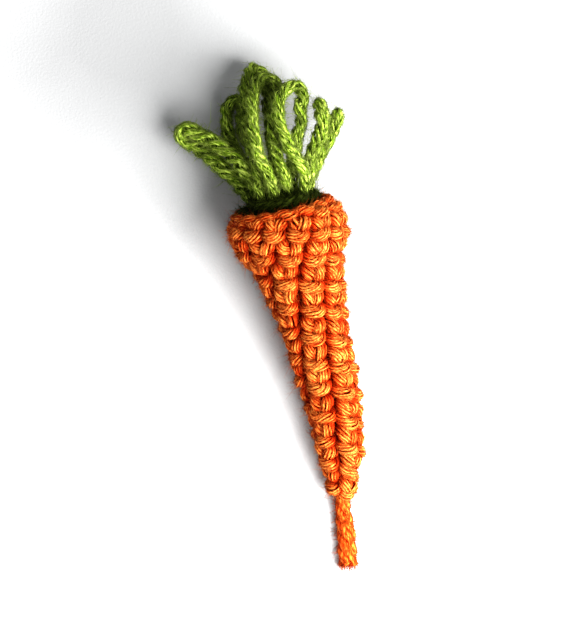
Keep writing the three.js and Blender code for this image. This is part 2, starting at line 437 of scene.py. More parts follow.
@dataclass(frozen=True)
class Brush:
    """The fibres that stand out of a cut end of yarn.

    Attributes:
        count: number of fibres.
        length: of a middling fibre.
        splay: how far the outer fibres lean out.
        thickness: radius at the foot.
        seed: of the random draws.
    """

    count: int = 220
    length: float = 1.5
    splay: float = 0.25
    thickness: float = 0.035
    seed: int = 8

    def fanned(self, strand: Strand) -> Surface:
        """Fibres rooted all over the end of a strand, inside its last millimetre."""
        rng = np.random.default_rng(self.seed + strand.seed)
        angle = rng.uniform(0.0, FULL_TURN, (self.count, 1))
        share = np.sqrt(rng.uniform(0.0, 1.0, (self.count, 1)))
        aside = share * (np.cos(angle) * strand.normal[-1] + np.sin(angle) * strand.binormal[-1])
        radius = strand.yarn.radius * strand.size[-1] * strand.opening[-1]
        length = self.length * rng.lognormal(0.0, 0.25, (self.count, 1))
        stray = rng.normal(0.0, 0.12, (self.count, 3))
        direction = unit(strand.tangent[-1] + self.splay * aside + stray)
        foot = strand.path[-1] + radius * aside - rng.uniform(0.3, 1.0, (self.count, 1)) * strand.tangent[-1]
        return hairs(foot, length * direction, 2.0 * length * stray, self.thickness, self.seed)


@dataclass(frozen=True)
class Wisps:
    """Fibres that lie along the plies of yarn, drift across them and rise a little on the way.

    Attributes:
        count: number of fibres.
        span: distance that each goes along the yarn.
        thickness: radius in the middle.
        rise: share of the yarn's radius by which the highest stand off.
        drift: angle about the yarn by which a middling one leaves its ply.
        straight: share of the plies' turn that they leave out.
        reach: most painted shade along the strand at which they still start.
        stations: points along each.
        seed: of the random draws.
    """

    count: int
    span: float = 4.5
    thickness: float = 0.05
    rise: float = 0.16
    drift: float = 0.5
    straight: float = 0.5
    reach: float = 0.35
    stations: int = 8
    seed: int = 9

    def laid(self, strand: Strand) -> Surface:
        """Fibres on a strand.

        A fibre's points lie off the path by the yarn's radius, swelled by half a sine wave over
        the fibre's length, at the angle of a ply's crest plus an even drift and a slow sway.
        """
        rng = np.random.default_rng(self.seed + strand.seed)
        stride = max(1, round(self.span / strand.distance[1] / (self.stations - 1)))
        last = len(strand.path) - stride * (self.stations - 1)
        first = rng.choice(np.flatnonzero(strand.painted_shade_along[:last] < self.reach), self.count)
        index = first + stride * np.arange(self.stations)[:, None]
        share = np.linspace(0.0, 1.0, self.stations)[:, None]
        ply = rng.integers(0, strand.yarn.plies, self.count)
        drift = 0.3 * self.drift * rng.normal(0.0, 1.0, self.count)
        drift = drift + self.drift * rng.normal(0.0, 1.0, self.count) * (share - 0.5)
        drift = drift - self.straight * strand.rate * self.span * (share - 0.5)
        sway = 0.12 * np.sin(FULL_TURN * (share + rng.uniform(0.0, 1.0, self.count)))
        angle = (strand.turn[index, ply] + drift + sway)[..., None]
        outward = np.cos(angle) * strand.normal[index] + np.sin(angle) * strand.binormal[index]
        rise = 0.97 + self.rise * rng.uniform(0.0, 1.0, self.count) ** 2 * np.sin(math.pi * share)
        centres = strand.path[index] + (strand.yarn.radius * strand.size[index] * rise)[..., None] * outward
        centres[..., 2] = np.maximum(centres[..., 2], 0.08)
        heading = unit(np.gradient(centres, axis=0))
        outward = unit(outward - np.sum(outward * heading, axis=2, keepdims=True) * heading)
        taper = 1.0 - 0.7 * np.abs(2.0 * share - 1.0) ** 3
        radii = self.thickness * rng.uniform(0.6, 1.2, self.count) * taper
        hollow = rng.uniform(0.0, DARKEST_FIBRE, (1, self.count, 1))
        return tubes(centres, heading, outward, radii, 3, hollow)


class Value:
    """A number socket that takes part in arithmetic: each operation adds a Math node."""

    def __init__(self, shader: "Shader", socket: bpy.types.NodeSocket) -> None:
        """Wraps one output socket of a shader's node."""
        self.shader = shader
        self.socket = socket

    def _math(self, operation: str, first: Any, second: Any) -> "Value":
        """The result of a Math node on two numbers or sockets."""
        node = self.shader.add("ShaderNodeMath", {"operation": operation}, {0: first, 1: second})
        return Value(self.shader, node.outputs[0])

    def __add__(self, other: Any) -> "Value":
        """This plus other."""
        return self._math("ADD", self, other)

    __radd__ = __add__

    def __sub__(self, other: Any) -> "Value":
        """This minus other."""
        return self._math("SUBTRACT", self, other)

    def __rsub__(self, other: Any) -> "Value":
        """Other minus this."""
        return self._math("SUBTRACT", other, self)

    def __mul__(self, other: Any) -> "Value":
        """This times other."""
        return self._math("MULTIPLY", self, other)

    __rmul__ = __mul__

    def __pow__(self, other: Any) -> "Value":
        """This to the power of other."""
        return self._math("POWER", self, other)


class Shader:
    """A material under construction, with one Principled surface."""

    def __init__(self, name: str) -> None:
        """Starts an empty node material."""
        self.material = bpy.data.materials.new(name)
        self.material.use_nodes = True
        self.tree = self.material.node_tree
        self.tree.nodes.clear()

    def add(
        self, kind: str, settings: dict[str, Any] | None = None, inputs: dict[Any, Any] | None = None
    ) -> bpy.types.Node:
        """Adds a node.

        Args:
            kind: the node's type.
            settings: properties of the node, set first; stops are a ramp's places and colours.
            inputs: values or links of its sockets, by name or number.

        Returns:
            The node.
        """
        node = self.tree.nodes.new(kind)
        for key, setting in (settings or {}).items():
            if key == "stops":
                self._set_stops(node, setting)
            else:
                setattr(node, key, setting)
        for key, given in (inputs or {}).items():
            source = given.socket if isinstance(given, Value) else given
            if isinstance(source, bpy.types.NodeSocket):
                self.tree.links.new(source, node.inputs[key])
            else:
                node.inputs[key].default_value = source
        return node

    @staticmethod
    def _set_stops(node: bpy.types.Node, stops: Sequence[tuple[float, Colour]]) -> None:
        """Gives a ramp node its stops."""
        elements = node.color_ramp.elements
        while len(elements) < len(stops):
            elements.new(1.0)
        for element, (place, colour) in zip(elements, stops):
            element.position = place
            element.color = colour

    def value(self, kind: str, output: Any, settings: dict[str, Any], inputs: dict[Any, Any]) -> Value:
        """One output of a new node, ready for arithmetic."""
        return Value(self, self.add(kind, settings, inputs).outputs[output])

    def noise(self, vector: bpy.types.NodeSocket, scale: float, detail: float) -> Value:
        """Cloudy noise of about 0 to 1 at the places that a vector gives."""
        inputs = {"Vector": vector, "Scale": scale, "Detail": detail}
        return self.value("ShaderNodeTexNoise", "Fac", {}, inputs)

    def mixed(self, share: Any, low: Any, high: Any) -> bpy.types.NodeSocket:
        """The colour that lies a share of the way from low to high."""
        node = self.add(
            "ShaderNodeMix", {"data_type": "RGBA", "clamp_factor": True}, {0: share, 6: low, 7: high}
        )
        return node.outputs[2]

    def finish(self, inputs: dict[str, Any]) -> bpy.types.Material:
        """Adds the Principled surface and the output, and gives the material."""
        surface = self.add("ShaderNodeBsdfPrincipled", None, inputs)
        self.add("ShaderNodeOutputMaterial", None, {"Surface": surface.outputs[0]})
        return self.material


@dataclass(frozen=True)
class YarnFinish:
    """Matt plied yarn, with painted shade between its strands and painted highlights on streaks of fibres.

    Attributes:
        name: of the material.
        lit: colour of a strand in the light.
        pale: painted highlight colour, which streaks of fibres go to as if they catch the light.
        deep: painted shade colour, down between strands.
        hollow_depth: how far the colour goes to the painted shade colour where the painted shade is full.
        shine: strength of the fibres' soft gleam.
        gleam: colour of that gleam.
        bump: depth of the fibres' relief in metres.
        slant: share of a turn by which fibres wind about their ply in a millimetre.
        contrast: factor on how far single fibres go, at random, to the painted highlight and the painted shade
            colour.
        painted_highlight_share: how far the colour goes to the painted highlight colour everywhere.
        highlight_fade_in_shade: how much of that painted highlight is lost where the painted shade is full.
    """

    name: str
    lit: Colour
    pale: Colour
    deep: Colour
    hollow_depth: float = 0.95
    shine: float = 0.1
    gleam: Colour = (1.0, 0.75, 0.3, 1.0)
    bump: float = 0.0003
    slant: float = 0.15
    contrast: float = 1.0
    painted_highlight_share: float = 0.2
    highlight_fade_in_shade: float = 0.0

    def material(self) -> bpy.types.Material:
        """The yarn's material: fibre streaks that cross each ply, mottling from place to place, painted highlights
        and painted shade.
        """
        shader = Shader(self.name)
        uv = shader.add("ShaderNodeUVMap", {"uv_map": "UVMap"}).outputs[0]
        parts = shader.add("ShaderNodeSeparateXYZ", None, {0: uv}).outputs
        along, share = (Value(shader, part) for part in parts[:2])
        strands = {0: along * 0.8, 1: (share - along * self.slant) * 9.0}
        lines = shader.add("ShaderNodeCombineXYZ", None, strands).outputs[0]
        fibres = shader.noise(lines, scale=1.0, detail=3.0)
        place = shader.add("ShaderNodeTexCoord").outputs["Object"]
        mottle = shader.noise(place, scale=260.0, detail=2.0)
        hollow = shader.value("ShaderNodeAttribute", "Fac", {"attribute_name": PAINTED_SHADE_AND_TONE}, {})
        # Painted highlight: streaks of fibres and mottling go to the pale colour, less so under painted shade.
        streak = (fibres - 0.5) * (8.0 * self.contrast) + (mottle - 0.5) * 1.2
        streak = streak + self.painted_highlight_share - hollow * self.highlight_fade_in_shade
        strand = shader.mixed(streak, self.lit, self.pale)
        # Painted shade from the attribute, with random fibre and mottle tone, takes the colour to the deep one.
        depth = hollow * self.hollow_depth + (0.47 - fibres) * (4.0 * self.contrast) + (0.5 - mottle) * 0.8
        colour = shader.mixed(depth, strand, self.deep)
        bump = shader.add("ShaderNodeBump", None, {"Distance": self.bump, "Height": fibres})
        return shader.finish(
            {
                "Base Color": colour,
                "Roughness": 0.75 - 0.3 * fibres,
                "Normal": bump.outputs[0],
                "Specular IOR Level": self.shine,
                "Specular Tint": self.gleam,
            }
        )


@dataclass(frozen=True)
class FillFinish:
    """Loose matt fibre filling.

    Attributes:
        name: of the material.
        light: colour of the tufts.
        shade: colour between the tufts.
    """

    name: str
    light: Colour
    shade: Colour

    def material(self) -> bpy.types.Material:
        """The filling's material: clumps of fibre with fine relief."""
        shader = Shader(self.name)
        place = shader.add("ShaderNodeTexCoord").outputs["Object"]
        clumps = shader.noise(place, scale=700.0, detail=5.0)
        colour = shader.mixed((clumps - 0.3) * 2.5, self.shade, self.light)
        bump = shader.add("ShaderNodeBump", None, {"Distance": 0.0003, "Height": clumps})
        return shader.finish(
            {
                "Base Color": colour,
                "Roughness": 0.8 + 0.2 * clumps,
                "Normal": bump.outputs[0],
                "Sheen Weight": 0.3,
            }
        )


@dataclass(frozen=True)
class FloorFinish:
    """White paper with a painted soft shadow, grey in its middle.

    Attributes:
        name: of the material.
        light: colour of the paper.
        shade: colour of the painted shadow at its middle.
        painted_shadow_middle: middle of the painted shadow.
        near: distance from there at which the paper starts to lighten.
        far: distance at which it is white.
    """

    name: str
    light: Colour
    shade: Colour
    painted_shadow_middle: tuple[float, float, float] = (-0.0213, 0.058, 0.0)
    near: float = 0.008
    far: float = 0.085

    def material(self) -> bpy.types.Material:
        """The paper's material: a painted shadow that lightens slowly away from its middle, faint clouds and a fine
        tooth.
        """
        shader = Shader(self.name)
        place = shader.add("ShaderNodeTexCoord").outputs["Object"]
        clouds = shader.noise(place, scale=25.0, detail=3.0)
        tooth = shader.noise(place, scale=2000.0, detail=2.0)
        distance = shader.value(
            "ShaderNodeVectorMath", "Value", {"operation": "DISTANCE"}, {0: place, 1: self.painted_shadow_middle}
        )
        # Painted shadow: share of the way from the shade colour to the paper's, by distance from its middle, with
        # clouds in its edge.
        share = (distance - self.near) * (1.0 / (self.far - self.near)) + (clouds - 0.5) * 0.4
        colour = shader.mixed(share, self.shade, self.light)
        bump = shader.add("ShaderNodeBump", None, {"Distance": 0.00005, "Height": tooth})
        roughness = 0.7 + 0.2 * tooth
        return shader.finish({"Base Color": colour, "Roughness": roughness, "Normal": bump.outputs[0]})


ORANGE = YarnFinish(
    name="orange_yarn",
    lit=(0.61, 0.102, 0.015, 1.0),
    pale=(0.91, 0.37, 0.09, 1.0),
    deep=(0.34, 0.021, 0.0035, 1.0),
    contrast=0.55,
    painted_highlight_share=0.84,
    highlight_fade_in_shade=1.5,
)
ORANGE_FIBRES = YarnFinish(
    name="orange_fibres",
    lit=(0.65, 0.115, 0.018, 1.0),
    pale=(0.92, 0.37, 0.10, 1.0),
    deep=(0.36, 0.023, 0.0035, 1.0),
    contrast=0.6,
    painted_highlight_share=0.65,
    highlight_fade_in_shade=1.0,
)
# The root's own yarn, made again for the tail with weaker painted highlights and a lighter painted shade colour.
ORANGE_TAIL_WEAK_HIGHLIGHTS = YarnFinish(
    name="orange_yarn_weak_highlights",
    lit=(0.62, 0.085, 0.012, 1.0),
    pale=(0.80, 0.22, 0.04, 1.0),
    deep=(0.38, 0.030, 0.004, 1.0),
)
GREEN = YarnFinish(
    name="green_yarn",
    lit=(0.195, 0.305, 0.021, 1.0),
    pale=(0.58, 0.70, 0.155, 1.0),
    deep=(0.014, 0.032, 0.002, 1.0),
    gleam=(0.85, 1.0, 0.4, 1.0),
)
GREEN_FIBRES = YarnFinish(
    name="green_fibres",
    lit=(0.24, 0.35, 0.025, 1.0),
    pale=(0.58, 0.67, 0.22, 1.0),
    deep=(0.018, 0.038, 0.002, 1.0),
    gleam=(0.85, 1.0, 0.4, 1.0),
)
# The cap's yarn is the leaves' green, painted darker throughout: painted shade for where it sits under the leaves
# inside the rim.
GREEN_PAINTED_SHADE = YarnFinish(
    name="green_yarn_painted_shade",
    lit=(0.020, 0.027, 0.0035, 1.0),
    pale=(0.082, 0.106, 0.018, 1.0),
    deep=(0.0035, 0.0053, 0.0006, 1.0),
    gleam=(0.85, 1.0, 0.4, 1.0),
)
GREEN_FIBRES_PAINTED_SHADE = YarnFinish(
    name="green_fibres_painted_shade",
    lit=(0.030, 0.041, 0.005, 1.0),
    pale=(0.15, 0.2, 0.035, 1.0),
    deep=(0.006, 0.0094, 0.001, 1.0),
    gleam=(0.85, 1.0, 0.4, 1.0),
)
FILL = FillFinish(name="fibre_fill", light=(0.88, 0.855, 0.79, 1.0), shade=(0.6, 0.57, 0.5, 1.0))
PAPER = FloorFinish(name="white_paper", light=(0.57, 0.57, 0.57, 1.0), shade=(0.27, 0.27, 0.27, 1.0))


@dataclass
class Spine:
    """The line down the middle of the root.

    Attributes:
        bow: sideways places along the line, each with its distance from the tip.
        length: the length of the line.
        pitch: angle at which it rises.
        tip_height: height of the tip.
    """

    bow: Sequence[tuple[float, float]] = (
        (0.2, 0.0), (1.0, 8.0), (1.4, 19.0), (0.7, 31.0), (-0.1, 43.0), (-1.7, 60.0),
    )
    length: float = 60.0
    pitch: float = math.radians(8.8)
    tip_height: float = 2.7

    def __post_init__(self) -> None:
        """Draws the line once."""
        sine, cosine = math.sin(self.pitch), math.cos(self.pitch)
        places = [(x, along * cosine, self.tip_height + along * sine) for x, along in self.bow]
        self.line = smooth_path(places, 0.25)
        self.share = travelled(self.line) / travelled(self.line)[-1]
        self.up = np.array([0.0, -sine, cosine])
        self.side = np.array([1.0, 0.0, 0.0])

    def beside(self, along: Array, across: Array, above: Array) -> Array:
        """Points off the line.

        Args:
            along: distances from the tip.
            across: distances to the right.
            above: distances upward, square to the line.

        Returns:
            The points, along a new last axis.
        """
        share = np.clip(np.asarray(along, dtype=float) / self.length, 0.0, 1.0)
        point = np.stack([np.interp(share, self.share, axis) for axis in self.line.T], axis=-1)
        return point + np.asarray(across)[..., None] * self.side + np.asarray(above)[..., None] * self.up

    def distances(self, points: Array) -> tuple[Array, Array]:
        """Distance from the tip, and from the line, of each of some points."""
        ahead = np.array([0.0, math.cos(self.pitch), math.sin(self.pitch)])
        along = (points - self.line[0]) @ ahead
        nil = np.zeros_like(along)
        off = points - self.beside(along, nil, nil)
        return along, np.hypot(off @ self.side, off @ self.up)


class Outline:
    """A smooth outline of distance from the tip against radius, read by the length worked along it."""

    def __init__(self, points: Sequence[tuple[float, float]]) -> None:
        """Draws the outline through its points."""
        self.line = smooth_path(points, 0.1)
        self.worked = travelled(self.line)
        self.tangent = unit(np.gradient(self.line, axis=0))
        self.length = float(self.worked[-1])

    def at(self, worked: Array, depth: Array) -> tuple[Array, Array]:
        """Distance from the tip and radius of places under the outline.

        Args:
            worked: lengths along the outline.
            depth: how far in from it, square to it.

        Returns:
            The distances from the tip, and the radii.
        """
        along, radius = (np.interp(worked, self.worked, axis) for axis in self.line.T)
        forward, outward = (np.interp(worked, self.worked, axis) for axis in self.tangent.T)
        return along + depth * outward, radius - depth * forward

    def depth(self, along: Array, radius: Array) -> Array:
        """How far inside the outline places lie, from their distances from the tip and radii."""
        reached = np.maximum.accumulate(self.line[:, 0])
        return np.interp(along, reached, self.line[:, 1]) - radius


SPINE = Spine()


@dataclass
class Workshop:
    """Turns surfaces into pieces of the carrot.

    Attributes:
        cap_ring: distance from the tip at which the cap is widest.
        shift: from millimetres off the tip to the frame's origin.
    """

    cap_ring: float = 57.0
    shift: Array = field(init=False)

    def __post_init__(self) -> None:
        """Finds the shift from the cap, which is as wide on both sides of the spine, and the tail's end."""
        low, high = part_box("leaf_cap")
        middle = (low[0] + high[0]) / 2 / METRES
        spine_x = float(SPINE.beside(np.array(self.cap_ring), np.array(0.0), np.array(0.0))[0])
        tail_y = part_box("crocheted_root")[0][1] / METRES
        self.shift = np.array([middle - spine_x, tail_y - TAIL_END[1], 0.0])

    def piece(
        self, name: str, surface: Surface, finish: bpy.types.Material, stands_for: Sequence[str] = ()
    ) -> bpy.types.Object:
        """Makes a piece that rides on the carrot.

        Args:
            name: of the piece.
            surface: its mesh in millimetres.
            finish: its material.
            stands_for: the nodes that it replaces.

        Returns:
            The new object.
        """
        mesh = bpy.data.meshes.new(name)
        quads, caps = surface.quads, surface.caps
        corners = np.concatenate([quads.ravel(), caps.ravel()]).astype(np.int32)
        cap_starts = quads.size + caps.shape[1] * np.arange(len(caps))
        starts = np.concatenate([4 * np.arange(len(quads)), cap_starts]).astype(np.int32)
        mesh.vertices.add(len(surface.points))
        mesh.vertices.foreach_set("co", ((surface.points + self.shift) * METRES).ravel())
        mesh.loops.add(len(corners))
        mesh.loops.foreach_set("vertex_index", corners)
        mesh.polygons.add(len(starts))
        mesh.polygons.foreach_set("loop_start", starts)
        mesh.update(calc_edges=True)
        mesh.shade_smooth()
        uv = np.concatenate([surface.quad_uv.reshape(-1, 2), np.zeros((caps.size, 2))])
        mesh.uv_layers.new(name="UVMap").uv.foreach_set("vector", uv.astype(np.float32).ravel())
        hollow = mesh.attributes.new(PAINTED_SHADE_AND_TONE, "FLOAT", "POINT")
        hollow.data.foreach_set("value", surface.hollow.astype(np.float32))
        mesh.materials.append(finish)
        made = bpy.data.objects.new(name, mesh)
        bpy.context.scene.collection.objects.link(made)
        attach(made, BODY)
        if stands_for:
            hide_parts(*stands_for)
        LOG.info("%s: %d vertices, %d faces", name, len(mesh.vertices), len(mesh.polygons))
        return made


@dataclass
class CrochetedRoot:
    """The root: one yarn worked in a spiral of stitches.

    Each stitch shows a bar of yarn that sags in the middle, and above it two legs that part as
    they climb and go in under the bar of the next round. Columns of stitches stand apart.

    Attributes:
        yarn: the yarn.
        outline: the outside, as distances from the tip and radii.
        round_height: length worked in one round.
        stitch_width: of one stitch, along the round.
        fewest: stitches in the smallest round.
        first_round: length worked before the first round.
        last_bar: how far under the end of the outline the highest bars lie.
        column_turn: angle of the front column at the tip.
        column_lean: angle by which columns lean from one round to the next.
        tilt: how far rounds drop towards the right of the front, in rounds.
        figure: the yarn's way through one stitch, as [stitch widths to the right, rounds up,
            depth under the outline].
        looseness: random shifts of those places, in the same units.
        step: distance between points of the yarn.
        least_radius: nearest that the yarn comes to the spine.
        shade: depths inside the outline at which painted shade on the yarn starts, and is darkest.
        rim: distance from the tip and radius of the chain that ends the last round.
        rim_tilt: how far that chain climbs to the right, as a slope.
        rim_stitches: stitches in that chain.
        pieces: names of the lengths into which the yarn is divided.
        wisps: fibres that lie on each length.
        fuzz: fibres that stand off each length.
        seed: of the random draws.
    """

    yarn: Yarn = Yarn(radius=1.3, plies=11, pitch=8.0, sides=5, plumpness=1.0, unevenness=0.15)
    outline: Sequence[tuple[float, float]] = (
        (-0.7, 0.0), (-0.4, 2.0), (1.2, 3.0), (4.0, 3.3), (6.0, 4.1), (8.5, 4.65), (13.0, 4.9), (20.0, 5.55),
        (26.0, 6.1), (32.0, 6.3), (37.0, 7.0), (42.0, 7.95), (46.0, 8.9), (49.0, 10.2), (51.5, 11.2),
        (53.5, 11.45), (55.2, 11.1), (56.6, 10.4), (57.4, 9.4), (57.2, 8.4),
    )
    round_height: float = 5.3
    stitch_width: float = 4.5
    fewest: int = 4
    first_round: float = -0.3
    last_bar: float = 1.2
    column_turn: float = math.radians(-73.0)
    column_lean: float = math.radians(10.0)
    tilt: float = 0.2
    figure: Sequence[tuple[float, float, float]] = (
        (0.28, 0.38, 2.7), (0.33, 0.27, 1.6), (0.20, 0.15, 0.95), (0.0, 0.10, 0.75), (-0.20, 0.15, 0.95),
        (-0.33, 0.27, 1.6), (-0.28, 0.40, 2.7), (-0.14, 0.44, 3.0), (-0.06, 0.44, 2.3), (-0.10, 0.54, 1.35),
        (-0.19, 0.66, 0.95), (-0.24, 0.80, 1.3), (-0.20, 0.96, 2.6), (0.0, 1.04, 3.1), (0.20, 0.96, 2.6),
        (0.24, 0.80, 1.3), (0.19, 0.66, 0.95), (0.10, 0.54, 1.35), (0.06, 0.44, 2.3), (-0.06, 0.50, 3.1),
        (-0.46, 0.74, 2.8), (-0.62, 0.44, 3.1),
    )
    looseness: tuple[float, float, float] = (0.03, 0.03, 0.13)
    step: float = 0.48
    least_radius: float = 0.6
    shade: tuple[float, float] = (-0.15, 1.2)
    rim: tuple[float, float] = (56.8, 8.8)
    rim_tilt: float = 0.02
    rim_stitches: int = 15
    pieces: Sequence[str] = ("tip", "middle", "shoulder")
    wisps: Wisps = Wisps(count=5000, span=2.6, thickness=0.05, rise=0.2, drift=0.6, stations=4, seed=61)
    fuzz: Fuzz = Fuzz(count=7000, length=0.8, thickness=0.03, lift=0.4, stray=0.6, seed=51)
    seed: int = 3

    def stitch_path(self) -> tuple[Array, Array]:
        """The yarn's way through all the stitches.

        Returns:
            Points of the yarn, and how deep each lies under the outline.
        """
        outline = Outline(self.outline)
        rounds = np.arange(math.ceil((outline.length - self.first_round) / self.round_height))
        middles = self.first_round + (rounds + 0.5) * self.round_height
        _, radii = outline.at(np.clip(middles, 0.0, outline.length - self.last_bar), np.zeros(len(rounds)))
        counts = np.round(FULL_TURN * (radii - self.yarn.radius) / self.stitch_width)
        counts = np.maximum(self.fewest, counts).astype(int)
        count = np.repeat(counts, counts)
        row = np.repeat(rounds, counts)
        place = np.arange(counts.sum()) - np.repeat(np.cumsum(counts) - counts, counts)
        column = count // 2 - place
        rng = np.random.default_rng(self.seed)
        figure = np.array(self.figure)
        loose = rng.normal(0.0, 1.0, (len(count), *figure.shape)) * np.array(self.looseness)
        across, up, depth = np.moveaxis(figure + loose, 2, 0)
        height = (row + (place + 0.5) / count)[:, None] + up - across / count[:, None]
        lean = self.column_turn + self.column_lean * height
        turn = lean + (column[:, None] + across) * FULL_TURN / count[:, None]
        worked = self.first_round + self.round_height * (height - self.tilt * np.sin(turn))
        kept = worked[:, 0] < outline.length - self.last_bar
        worked, turn, depth = worked[kept], turn[kept], depth[kept]
        along, radius = outline.at(np.clip(worked, 0.0, outline.length), depth)
        radius = np.maximum(radius, self.least_radius)
        points = SPINE.beside(along, radius * np.sin(turn), radius * np.cos(turn)).reshape(-1, 3)
        whole = smooth_path(np.column_stack([points, depth.ravel()]), self.step / 2)
        whole = softened(even_steps(whole, self.step), 2)
        return whole[:, :3], whole[:, 3]

    def shaded(self, surface: Surface) -> Surface:
        """A surface with painted shade added at its points, the more the farther they lie inside the outline."""
        under = Outline(self.outline).depth(*SPINE.distances(surface.points))
        return replace(surface, hollow=np.clip(surface.hollow + smoothstep(under, *self.shade), 0.0, 1.0))

    def rim_path(self) -> Array:
        """The yarn's way along the edge: a ring that weaves in and out and up and down in each stitch."""
        turn = math.pi + np.linspace(0.0, FULL_TURN, 400)
        wave = self.rim_stitches * turn
        along, radius = self.rim
        radius = radius + 0.4 * np.sin(wave)
        along = along + 0.2 * np.cos(wave) + self.rim_tilt * radius * np.sin(turn)
        return even_steps(SPINE.beside(along, radius * np.sin(turn), radius * np.cos(turn)), self.step)

    def build(self, workshop: Workshop, finish: bpy.types.Material, fibre_finish: bpy.types.Material) -> None:
        """Makes the stitches, with the fibres on them."""
        path, depth = self.stitch_path()
        path[:, 2] = np.maximum(path[:, 2], self.yarn.radius)
        size = 1.0 - 0.24 * smoothstep(depth, 1.1, 2.5)
        # Painted shade along the yarn, the more the deeper it lies under the outline.
        painted_shade_along = smoothstep(depth, 1.0, 2.3)
        whole = Strand(self.yarn, path, size, np.ones(len(path)), painted_shade_along, self.seed)
        LOG.info("root yarn: %.0f mm", whole.distance[-1])
        bounds = np.linspace(0, len(path) - 1, len(self.pieces) + 1).astype(int)
        lengths = {name: whole.part(*ends) for name, *ends in zip(self.pieces, bounds[:-1], bounds[1:])}
        rim = self.rim_path()
        ones = np.ones(len(rim))
        # The rim chain is given a fixed painted shade all along.
        lengths["rim"] = Strand(self.yarn, rim, 0.9 * ones, ones, 0.25 * ones, self.seed)
        for name, strand in lengths.items():
            share = strand.distance[-1] / lengths[self.pieces[0]].distance[-1]
            wisps = replace(self.wisps, count=round(share * self.wisps.count))
            fuzz = replace(self.fuzz, count=round(share * self.fuzz.count))
            plies = self.shaded(strand.plies())
            lying, standing = self.shaded(wisps.laid(strand)), self.shaded(fuzz.grown(plies))
            workshop.piece(f"root_stitches_{name}", plies, finish, ["crocheted_root"])
            workshop.piece(f"root_wisps_{name}", lying, fibre_finish)
            workshop.piece(f"root_fuzz_{name}", standing, fibre_finish)


@dataclass
class Tail:
    """The end of the root's yarn, left hanging from the tip, with its plies opened where it is cut.

    Attributes:
        yarn: the yarn.
        way: points that it follows.
        step: distance between points of the yarn.
        opened: factor by which the plies part at the cut.
        wisps: fibres that lie on it.
        fuzz: fibres that stand off it.
        brush: fibres that stand out of its cut end.
    """

    yarn: Yarn = Yarn(radius=1.3, plies=4, pitch=12.0, sides=8, plumpness=1.3, cored=True)
    way: Sequence[tuple[float, float, float]] = (
        (0.3, 4.0, 3.3), (-0.1, -0.6, 2.2), (-0.5, -3.0, 1.3), (-0.6, -6.5, 1.1), (-1.0, -10.0, 1.1),
        TAIL_END,
    )
    step: float = 0.3
    opened: float = 1.1
    wisps: Wisps = Wisps(count=500, span=3.5, stations=6, seed=62)
    fuzz: Fuzz = Fuzz(count=900, length=0.9, stray=0.6, seed=54)
    brush: Brush = Brush()

    def build(self, workshop: Workshop, finish: bpy.types.Material) -> None:
        """Makes the tail, with the fibres on it."""
        path = smooth_path(self.way, self.step)
        distance = travelled(path)
        opening = 1.0 + (self.opened - 1.0) * smoothstep(distance, 8.0, distance[-1])
        size = 0.95 + 0.3 * smoothstep(distance, 5.0, 11.0)
        # A fixed 0.3 goes into the painted shade value all along the tail, which deepens its colour evenly.
        strand = Strand(self.yarn, path, size, opening, np.full(len(path), 0.3), seed=21)
        plies = strand.plies()
        plies.points[:, 2] = np.maximum(plies.points[:, 2], 0.0)
        fibres = Surface.joined([self.wisps.laid(strand), self.fuzz.grown(plies), self.brush.fanned(strand)])
        workshop.piece("yarn_tail", plies, finish, ["crocheted_root"])
        workshop.piece("tail_fibres", fibres, finish)


